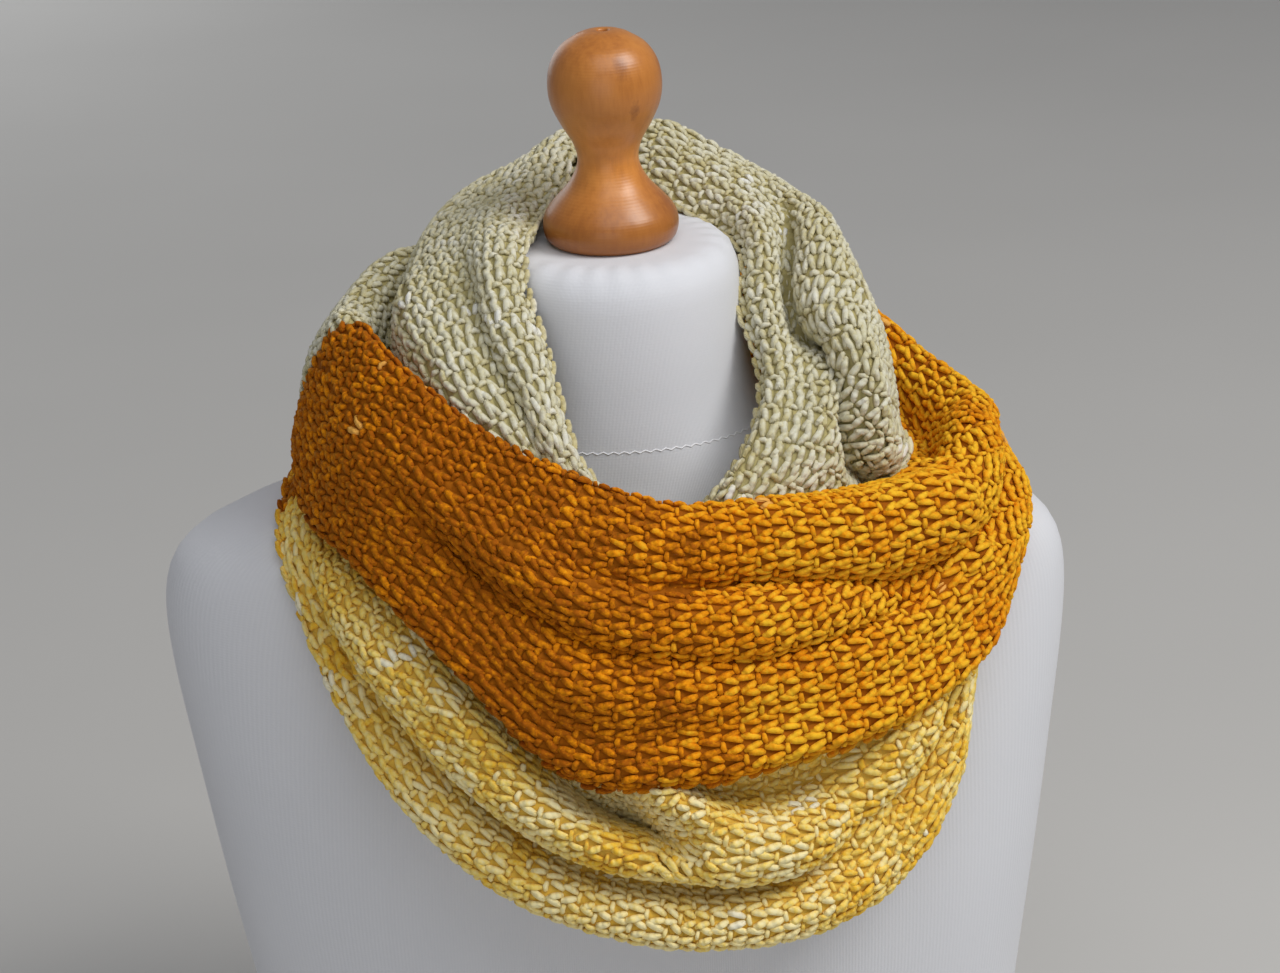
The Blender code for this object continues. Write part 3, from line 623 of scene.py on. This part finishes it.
def column_rows(band, offset, from_inner, shift):
    """Repeat numbers of one column, with the turn and local stretch of its three shapes."""
    away = offset if from_inner else band.width + 2 * EDGE - offset
    point = band.at(band.turns, np.clip(away - EDGE, 0, band.width))[0]
    step = np.linalg.norm(np.diff(point, axis=0), axis=1)
    ratio = np.clip(step / np.diff(band.rows), 0.8, 1.25)
    rho = np.insert(np.cumsum(step / ratio), 0, 0)
    rho += np.interp(ANCHOR, band.turns, band.rows) - np.interp(ANCHOR, band.turns, rho)
    number = np.arange(math.ceil(rho[0] / REPEAT), math.floor(rho[-1] / REPEAT))
    found = []
    for sign in (1, -1):
        for kind, place in enumerate(PLACES):
            turn = np.interp((number + shift) * REPEAT + sign * place, rho, band.turns)
            found.append((sign, kind, turn, np.interp(turn, band.turns[:-1] + 0.5, ratio)))
    return number, found


def set_stitch(kind, place, along, over, out, grow, room, jitter):
    """Shape, middle, axes and sizes of a stitch, a little out of true as in hand knitting."""
    c, s = math.cos(0.1 * jitter[0]), math.sin(0.1 * jitter[0])
    centre = place + along * 0.3 * jitter[1] + over * 0.25 * jitter[2] + out * 0.12 * jitter[3]
    size = 1 + 0.06 * jitter[4]
    sizes = (grow * size, room * size, room * size)
    return kind, centre, along * c + over * s, over * c - along * s, out, sizes


def column_stitches(band, column, from_inner, rng, pieces):
    """Add the stitches of one column, counted from the inner or the outer edge."""
    side = column if from_inner else -1 - column
    outwards = -1 if from_inner else 1
    offset = column * COLUMN
    number, found = column_rows(band, offset, from_inner, 0.5 * (side % 2))
    for sign, kind, turn, grow in found:
        width = np.interp(turn, band.turns, band.width)
        whole = width + 2 * EDGE
        meet = band.now_at(turn, row_at(MEETING, turn)[0]) * whole
        limit = meet if from_inner else whole - (np.floor(meet / COLUMN) + 0.75) * COLUMN
        mm = np.clip(offset - EDGE if from_inner else width + EDGE - offset, 0, width)
        place, normal, along, over = band.at(turn, mm)
        room = band.crowding(turn, mm)
        for k, repeat in enumerate(number):
            owner = stretch_of(turn[k], mm[k] / width[k])
            if owner is None or (sign < 0) != (turn[k] > REVERSED):
                continue
            tone = tone_of(3 * repeat + kind, side, turn[k], rng)
            jitter = [rng.uniform(-1, 1) for _ in range(5)]
            n, a, o = normal[k], along[k] * sign, over[k] * sign
            views = []
            if column == 0:                       # round the edge
                views.append((kind, -n * sign * outwards, over[k] * outwards, LIFT - 0.7, 1))
            elif offset <= limit[k]:              # outer side
                views.append((kind, o, n, LIFT - 1.2 * (1 - room[k]), room[k]))
            if 0 < offset <= STRETCHES[owner][4][0 if from_inner else 1]:
                views.append((BEHIND[kind], -o, -n, LIFT + 0.25, 1))
            for shape, across, out, lift, small in views:
                middle = place[k] + out * lift
                stitch = set_stitch(shape, middle, a, across, out, grow[k], small, jitter)
                pieces[owner].append((*stitch, tone))


def make_stitches(band):
    """Every stitch of the scarf, sorted into the pieces of STRETCHES."""
    pieces = [[] for _ in STRETCHES]
    rng = random.Random(7)
    for from_inner in (True, False):
        for column in range(int((band.width.max() + 2 * EDGE) / COLUMN) + 2):
            column_stitches(band, column, from_inner, rng, pieces)
    return pieces


# -------------------- cloth under the stitches
def core(band, name, start, end, mat):
    """Thin cloth of one stretch, closed, that the stitches stand on."""
    lines, wide = int((max(end) - min(start)) / 2) + 1, CORE_STEPS + 1
    share = np.linspace(0, 1, wide)
    way = np.linspace(0, 1, lines + 1)[:, None]
    turn = blend((blend(start, share), blend(end, share)), way).ravel()
    share = np.tile(share, lines + 1)
    width = np.interp(turn, band.turns, band.width)
    place, normal, _, _ = band.at(turn, share * width)
    thick = normal * np.clip(np.minimum(share, 1 - share) * width / 2, 0.25, 1)[:, None]
    size = len(turn)
    faces = grid(lines + 1, wide, False)
    faces += [(size + c, size + b, size + a) for a, b, c in faces]
    order = np.arange(size).reshape(-1, wide)
    rim = [*order[:, 0], *order[-1, 1:], *order[-2::-1, -1], *order[0, -2::-1]]
    for a, b in zip(rim, rim[1:]):
        faces += [(a, b, size + b), (a, size + b, size + a)]
    knit_row = np.interp(turn, band.turns, band.rows) * 3 / REPEAT
    spots = np.stack([(share * width + EDGE) / COLUMN, knit_row], -1)
    verts = np.concatenate([place + thick * CORE_OUT, place + thick * CORE_IN])
    return mesh_object(name + "_cloth", verts, faces, mat, np.tile(spots, (2, 1)))


# -------------------- materials
class Nodes:
    """Short helper to wire a material."""

    def __init__(self, name):
        self.mat = bpy.data.materials.new(name)
        self.mat.use_nodes = True
        self.mat.node_tree.nodes.clear()
        self.shader = self.add("ShaderNodeBsdfPrincipled", {})
        self.add("ShaderNodeOutputMaterial", {"Surface": self.shader.outputs[0]})
        self.coords = self.add("ShaderNodeTexCoord", {}).outputs["Object"]

    def add(self, kind, inputs, **settings):
        """A node with its settings and with its inputs fed."""
        node = self.mat.node_tree.nodes.new(kind)
        for key, value in settings.items():
            setattr(node, key, value)
        self.feed(node, inputs)
        return node

    def feed(self, node, inputs):
        """Link or set a node's inputs; a colour of three gets its alpha of 1."""
        for key, value in inputs.items():
            socket = node.inputs[key]
            if isinstance(value, bpy.types.NodeSocket):
                self.mat.node_tree.links.new(value, socket)
            elif isinstance(value, tuple) and len(socket.default_value) == 4:
                socket.default_value = (*value, 1)
            else:
                socket.default_value = value

    def math(self, kind, *values):
        return self.add("ShaderNodeMath", dict(enumerate(values)), operation=kind).outputs[0]

    def ramp(self, value, stops):
        node = self.add("ShaderNodeValToRGB", {0: value})
        points = node.color_ramp.elements
        while len(points) < len(stops):
            points.new(0.5)
        for point, (at, colour) in zip(points, stops):
            point.position = at
            point.color = (*colour, 1)
        return node.outputs[0]

    def mix(self, kind, share, a, b):
        inputs = {0: share, 6: a, 7: b}
        return self.add("ShaderNodeMix", inputs, data_type="RGBA", blend_type=kind).outputs[2]

    def noise(self, scale, detail=2, vector=None, rough=0.5):
        inputs = {"Scale": scale, "Detail": detail, "Roughness": rough, "Vector": vector or self.coords}
        return self.add("ShaderNodeTexNoise", inputs).outputs[0]

    def bump(self, height, strength, distance, after=None):
        inputs = {"Strength": strength, "Distance": distance, "Height": height}
        if after:
            inputs["Normal"] = after
        return self.add("ShaderNodeBump", inputs).outputs[0]

    def split(self, vector):
        return self.add("ShaderNodeSeparateXYZ", {0: vector}).outputs

    def scaled(self, *scale):
        """The object's coordinates, scaled."""
        return self.add("ShaderNodeMapping", {0: self.coords, "Scale": scale}).outputs[0]

    def yarn_place(self):
        """Place along and round a yarn, or column and row on the cloth."""
        return self.split(self.add("ShaderNodeUVMap", {}, uv_map="yarn").outputs[0])

    def finish(self, colour, normal=None, **values):
        """Feed the shader; the values' names are its inputs' in small letters."""
        inputs = {"Base Color": colour}
        if normal:
            inputs["Normal"] = normal
        for key, value in values.items():
            inputs[key.replace("_", " ").title().replace("Ior", "IOR")] = value
        self.feed(self.shader, inputs)
        return self.mat


# yarn name: stops of the tone ramp, share of pale stitches and their colour, painted shade tint low down
# on a stitch, colour of the cloth between the stitches, darkened as painted shade
YARNS = {
    "mustard_wool": ([(0, (0.42, 0.112, 0.001)), (0.45, (0.88, 0.31, 0.002)), (1, (1, 0.56, 0.026))],
                     0.006, (0.93, 0.48, 0.1), (0.7, 0.54, 0.44), (0.42, 0.12, 0.001)),
    "yellow_wool": ([(0, (0.93, 0.57, 0.05)), (0.4, (0.98, 0.75, 0.19)), (1, (1, 0.89, 0.5))],
                    0.008, (0.97, 0.92, 0.7), (1, 0.86, 0.56), (0.88, 0.55, 0.08)),
    "cream_wool": ([(0, (0.57, 0.51, 0.27)), (0.42, (0.67, 0.64, 0.46)), (1, (0.78, 0.77, 0.67))],
                   0.01, (0.82, 0.82, 0.77), (0.9, 0.8, 0.52), (0.52, 0.45, 0.2)),
}
WHITE = (1, 1, 1)


def yarn_material(name):
    """Wool of the stitches: a shade of its own for each, twisted plies and soft fibres, with painted
    shade low down on each stitch and a painted highlight on the plies' ridges.
    """
    stops, pale_share, pale, low, _ = YARNS[name]
    m = Nodes(name + "_yarn")
    tone = m.add("ShaderNodeAttribute", {}, attribute_name="tone").outputs["Color"]
    shade, lot, height = m.add("ShaderNodeSeparateColor", {0: tone}).outputs
    along, round_it, _ = m.yarn_place()
    round_it = m.math("MULTIPLY", round_it, 4 * math.pi)
    twist = m.math("SINE", m.math("MULTIPLY_ADD", along, 19, round_it))
    mottle = m.math("MULTIPLY", m.math("SUBTRACT", m.noise(620, 3), 0.5), 1.1)
    # the twist also lightens the colour along the plies' ridges, a painted highlight
    colour = m.ramp(m.math("ADD", shade, m.math("MULTIPLY_ADD", twist, 0.07, mottle)), stops)
    colour = m.mix("MIX", m.math("LESS_THAN", lot, pale_share), colour, pale)
    # painted shade: each stitch darker towards its bottom
    painted_low_shade = m.ramp(m.math("MULTIPLY_ADD", height, 0.55, 0.45), [(0.45, low), (1, WHITE)])
    fibres = m.bump(m.noise(1300, 3), 0.6, 0.0004, m.bump(twist, 0.55, 0.0004))
    return m.finish(m.mix("MULTIPLY", 1, colour, painted_low_shade), fibres, roughness=0.85, sheen_weight=0.2,
                    sheen_roughness=0.5, sheen_tint=stops[2][1], specular_ior_level=0.15)


def core_material(name):
    """The same wool between the stitches, coloured darker as painted shade, with the knit's own ribs,
    darker in their hollows as painted shade.
    """
    # between: the wool darkened, painted shade between the stitches
    between = YARNS[name][4]
    m = Nodes(name + "_cloth")
    column, row, _ = m.yarn_place()
    rib = m.math("ABSOLUTE", m.math("SINE", m.math("MULTIPLY", column, math.pi)))
    wave = m.math("SINE", m.math("MULTIPLY", row, 2 * math.pi))
    ribs = m.math("MULTIPLY", rib, m.math("MULTIPLY_ADD", wave, 0.3, 0.7))
    # the ribs' hollows coloured darker, painted shade
    colour = m.ramp(m.math("MULTIPLY", m.math("ADD", ribs, m.noise(300, 2)), 0.5),
                    [(0.2, tuple(c * 0.8 for c in between)), (0.8, between)])
    rough = m.bump(m.noise(1500, 3), 0.4, 0.0004, m.bump(ribs, 0.8, 0.0016))
    return m.finish(colour, rough, roughness=0.9, sheen_weight=0.1, sheen_roughness=0.6,
                    sheen_tint=between, specular_ior_level=0.2)


def jersey_material():
    """White cotton jersey: fine upright ribs, a little darker in their hollows as painted shade, and
    soft pilling.
    """
    m = Nodes("white_jersey_cover")
    x, y, z = m.split(m.coords)
    angle = m.math("ARCTAN2", x, m.math("MULTIPLY", y, -1))
    ribs = m.math("SINE", m.math("MULTIPLY", angle, 620))
    rows = m.math("SINE", m.math("MULTIPLY", z, 5200))
    colour = m.ramp(m.noise(9, 3), [(0.3, (0.74, 0.75, 0.79)), (0.7, (0.78, 0.79, 0.83))])
    # painted shade: the ribs' hollows a little darker
    painted_rib_shade = m.ramp(m.math("MULTIPLY_ADD", ribs, 0.5, 0.5), [(0, (0.93, 0.93, 0.94)), (1, WHITE)])
    weave = m.bump(m.math("MULTIPLY_ADD", rows, 0.3, ribs), 0.16, 0.0002)
    return m.finish(m.mix("MULTIPLY", 0.25, colour, painted_rib_shade), m.bump(m.noise(700, 3), 0.15, 0.0004, weave),
                    roughness=0.85, sheen_weight=0.2, sheen_roughness=0.5, specular_ior_level=0.25)


# middles (squeezed to half their height) and sizes of the knots in the wood, in m
WOOD_KNOTS = (((0.0069, -0.0203, 0.2761), 0.0062), ((0.0125, -0.0201, 0.2661), 0.0048))


def wood_material():
    """Turned beech stained orange-brown, with satin polish, fine rings and two knots, and painted shade
    and light by height: darker at its foot, brighter round its waist.
    """
    m = Nodes("turned_wood_polished")
    grain = m.noise(420, 4, m.scaled(1, 1, 0.16), 0.6)
    broad = m.noise(30, 3)
    tone = m.math("ADD", m.math("MULTIPLY", grain, 0.35), m.math("MULTIPLY", broad, 0.65))
    colour = m.ramp(tone, [(0.3, (0.38, 0.12, 0.018)), (0.5, (0.54, 0.195, 0.032)),
                           (0.72, (0.66, 0.26, 0.05))])
    squeezed = m.scaled(1, 1, 0.5)
    for middle, size in WOOD_KNOTS:
        near = m.add("ShaderNodeVectorMath", {0: squeezed, 1: middle}, operation="DISTANCE")
        wavy = m.math("ADD", near.outputs["Value"], m.math("MULTIPLY", m.noise(600, 2), 0.004))
        mark = m.ramp(m.math("DIVIDE", wavy, size), [(0.2, (0.5, 0.42, 0.5)), (1, WHITE)])
        colour = m.mix("MULTIPLY", 1, colour, mark)
    height = m.split(m.coords)[2]
    # painted shade and light by height: darker at the foot, brighter round the waist, a little darker
    # over the upper bulb
    painted_shade_and_light = m.ramp(height, [(0.474, (0.62, 0.54, 0.4)), (0.489, (0.9, 0.88, 0.8)),
                           (0.506, (1.28, 1.32, 1.36)), (0.53, (0.9, 0.88, 0.84)), (0.56, WHITE)])
    rings = m.math("SINE", m.math("MULTIPLY_ADD", height, 5200, m.math("MULTIPLY", broad, 6)))
    turned = m.bump(grain, 0.12, 0.0003, m.bump(rings, 0.12, 0.0001))
    return m.finish(m.mix("MULTIPLY", 1, colour, painted_shade_and_light), turned, roughness=0.38,
                    specular_ior_level=0.5, coat_weight=0.3, coat_roughness=0.26)


def plain_material(name, colour, rough):
    m = Nodes(name)
    lighter = tuple(min(1, c * 1.03) for c in colour)
    return m.finish(m.ramp(m.noise(3, 2), [(0.3, colour), (0.7, lighter)]), roughness=rough,
                    specular_ior_level=0.2)


# -------------------- dress form and knob
def heights(rows, step, least):
    """Heights of a table's rows, with more about a step apart between them."""
    found = []
    for low, high in zip(rows, rows[1:]):
        parts = max(least, round((high[0] - low[0]) / step))
        found += [blend((low[0], high[0]), k / parts) for k in range(parts)]
    return [*found, rows[-1][0]]


def ring(radius, height, sides, front=None, back=None, shift=0, power=2):
    """A rounded outline at a height, counted from the front; an ellipse where power is 2."""
    angle = 2 * math.pi * np.arange(sides) / sides
    s, c = np.sin(angle), -np.cos(angle)
    depth = np.where(c < 0, front or radius, back or radius)
    k = (np.abs(s) ** power + np.abs(c) ** power) ** (-1 / power)
    return np.stack([shift + radius * s * k, depth * c * k, np.full(sides, height)], -1)


def torso_ring(height, sides, share=1, sunk=0):
    """The torso's outline at a height, or a share of it, sunk a little."""
    half_width, front, back, shift = smooth_at(TORSO, height)
    return ring(half_width * share, height - sunk, sides, front * share, back * share, shift, SQUARENESS)


def loft(name, rings, mat):
    """Closed solid through a stack of rings with the same number of points."""
    sides, count = len(rings[0]), len(rings)
    verts = np.concatenate([*rings, [rings[0].mean(0)], [rings[-1].mean(0)]])
    faces = grid(count, sides)
    top = (count - 1) * sides
    for j in range(sides):
        n = (j + 1) % sides
        faces += [(count * sides, n, j), (count * sides + 1, top + j, top + n)]
    return mesh_object(name, verts, faces, mat)


def form(mat):
    """Jersey cover of the dress form, gathered in small pleats at the top of the neck."""
    angle = 2 * math.pi * np.arange(FORM_SIDES) / FORM_SIDES
    wave = np.sin(angle * 23 + 2 * np.sin(angle * 3)) * 0.35
    rings = []
    for z in heights(TORSO, 6, 1):
        points = torso_ring(z, FORM_SIDES)
        if z > 460:
            points[:, 2] += wave * (z - 455) / 16
        rings.append(points)
    top = TORSO[-1][0]
    rings += [torso_ring(top, FORM_SIDES, *inner) for inner in ((0.86, 0.05), (0.7, 0.05), (0.55, 0))]
    return loft("form_cover", rings, mat)


def neck_seam(mat):
    """Fine zigzag stitching where the neck's jersey meets the shoulders'."""
    path = torso_ring(SEAM_HEIGHT - 0.55, SEAM_POINTS)
    path[1::2] = torso_ring(SEAM_HEIGHT + 0.55, SEAM_POINTS)[1::2]
    tangent = unit(np.roll(path, -1, 0) - np.roll(path, 1, 0))[:, None]
    out = unit(path * (1, 1, 0))[:, None]
    side = unit(np.cross(tangent, out))
    angle = (2 * math.pi * np.arange(YARN_SIDES) / YARN_SIDES)[:, None]
    verts = (path[:, None] + out * (0.05 + SEAM_THREAD * np.cos(angle))
             + side * SEAM_THREAD * np.sin(angle)).reshape(-1, 3)
    faces = np.array(grid(SEAM_POINTS + 1, YARN_SIDES)) % len(verts)
    return mesh_object("neck_seam_stitching", verts, faces, mat)


def knob(mat):
    """Turned knob, with a small blind hole in its top."""
    pairs = [(z, smooth_at(KNOB, z)[0]) for z in heights(KNOB, 1.4, 2)] + KNOB_TOP
    return loft("knob_turned", [ring(radius, z, KNOB_SIDES) for z, radius in pairs], mat)


# -------------------- light, floor, camera
DISTANCE = 1500       # camera to the point it looks at
ELEVATION = 21        # degrees above the horizon
ROLL = 2.5            # degrees
AIM = (7.6, 0, 355)
LENS = 94.5
FLOOR = 9000          # half the width of the floor


def camera():
    data = bpy.data.cameras.new("camera")
    data.lens, data.sensor_width, data.sensor_fit = LENS, 36, "HORIZONTAL"
    data.clip_start, data.clip_end = 0.05, 60
    obj = link("camera", data)
    obj.matrix_world = (Matrix.Translation(Vector(AIM) * MM)
                        @ Matrix.Rotation(math.radians(90 - ELEVATION), 4, "X")
                        @ Matrix.Rotation(math.radians(-ROLL), 4, "Z")
                        @ Matrix.Translation((0, 0, DISTANCE * MM)))
    bpy.context.scene.camera = obj


def area_light(name, where, aim, size, power, colour):
    data = bpy.data.lights.new(name, "AREA")
    data.shape, data.size, data.size_y = "RECTANGLE", *size
    data.energy, data.color = power, colour
    obj = link(name, data)
    obj.location = where
    obj.rotation_euler = (Vector(aim) - Vector(where)).to_track_quat("-Z", "Y").to_euler()


def studio():
    corners = [(x, y, 0) for y in (-FLOOR, FLOOR) for x in (-FLOOR, FLOOR)]
    floor = mesh_object("floor", corners, [(0, 1, 3), (0, 3, 2)],
                        plain_material("pale_floor", (0.6, 0.59, 0.57), 0.9))
    area_light("key", (1.9, -0.75, 2.75), (0, 0, 0.35), (1.4, 1.4), 58, (1, 0.985, 0.96))
    area_light("fill", (-0.2, -2.5, 0.65), (0, 0, 0.22), (1.8, 1.4), 6.6, (0.94, 0.97, 1))
    area_light("back", (-1.2, 2.6, 0.9), (0, 0, 0.25), (1.6, 1.6), 8, (0.96, 0.98, 1))
    area_light("top", (0.1, -0.7, 1.5), (0, 0, 0.42), (0.9, 0.9), 4.2, WHITE)
    world = bpy.data.worlds.new("studio")
    bpy.context.scene.world = world
    world.use_nodes = True
    sky = world.node_tree.nodes["Background"].inputs
    sky[0].default_value = (0.93, 0.95, 1, 1)
    sky[1].default_value = 0.21
    bpy.context.scene.view_settings.view_transform = "Standard"


# -------------------- assembly
def recorded(obj, replaced=None):
    """The object, parented to the root body; the CAD node it stands for, if any, is hidden."""
    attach(obj, "root")
    if replaced:
        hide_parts(replaced)
    return obj


def main():
    band = Band()
    yarns = {name: yarn_material(name) for name in YARNS}
    cores = {name: core_material(name) for name in YARNS}
    for (name, start, end, wool, _), stitches in zip(STRETCHES, make_stitches(band)):
        cloth_piece = recorded(core(band, name, start, end, cores[wool]), name)
        stitch_piece = recorded(knit(name + "_stitches", stitches, yarns[wool]))
    recorded(form(jersey_material()), "dress_form")
    thread = plain_material("white_thread", (0.86, 0.86, 0.88), 0.7)
    recorded(neck_seam(thread))
    recorded(knob(wood_material()), "neck_knob")
    camera()
    studio()


main()
